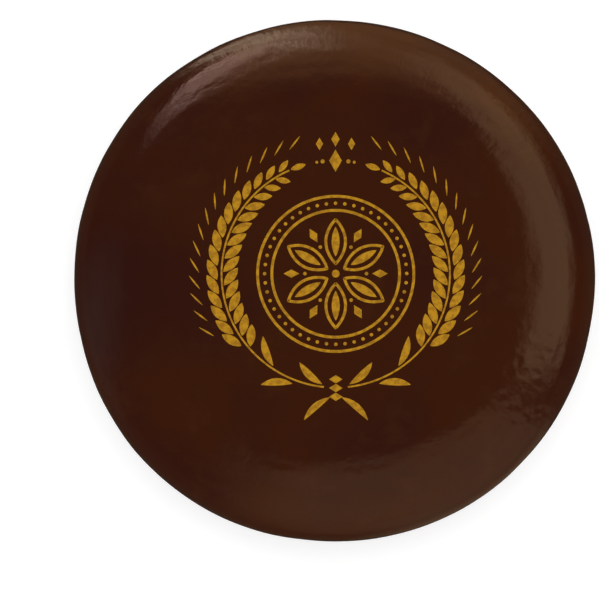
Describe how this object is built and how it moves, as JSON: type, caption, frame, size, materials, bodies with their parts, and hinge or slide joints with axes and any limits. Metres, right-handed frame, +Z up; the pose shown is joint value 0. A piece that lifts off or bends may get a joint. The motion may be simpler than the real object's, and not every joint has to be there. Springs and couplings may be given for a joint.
{
  "type": "aged cow cheese wheel",
  "caption": "Whole wheel of aged cow cheese, a low round drum with full rounded rims in a glossy dark brown coat, lying flat with a gold ornament on top.",
  "frame": {"origin": "middle of the underside, on the surface that the wheel lies on", "axes": "+Z up through the wheel's thickness, out of the printed top; the upper edge of the print is towards +Y"},
  "size_m": [0.3582, 0.36, 0.1206],
  "materials": {
    "coat": "satin",
    "print": "satin"
  },
  "bodies": {
    "root": {"cheese_wheel": "coat"}
  },
  "joints": []
}
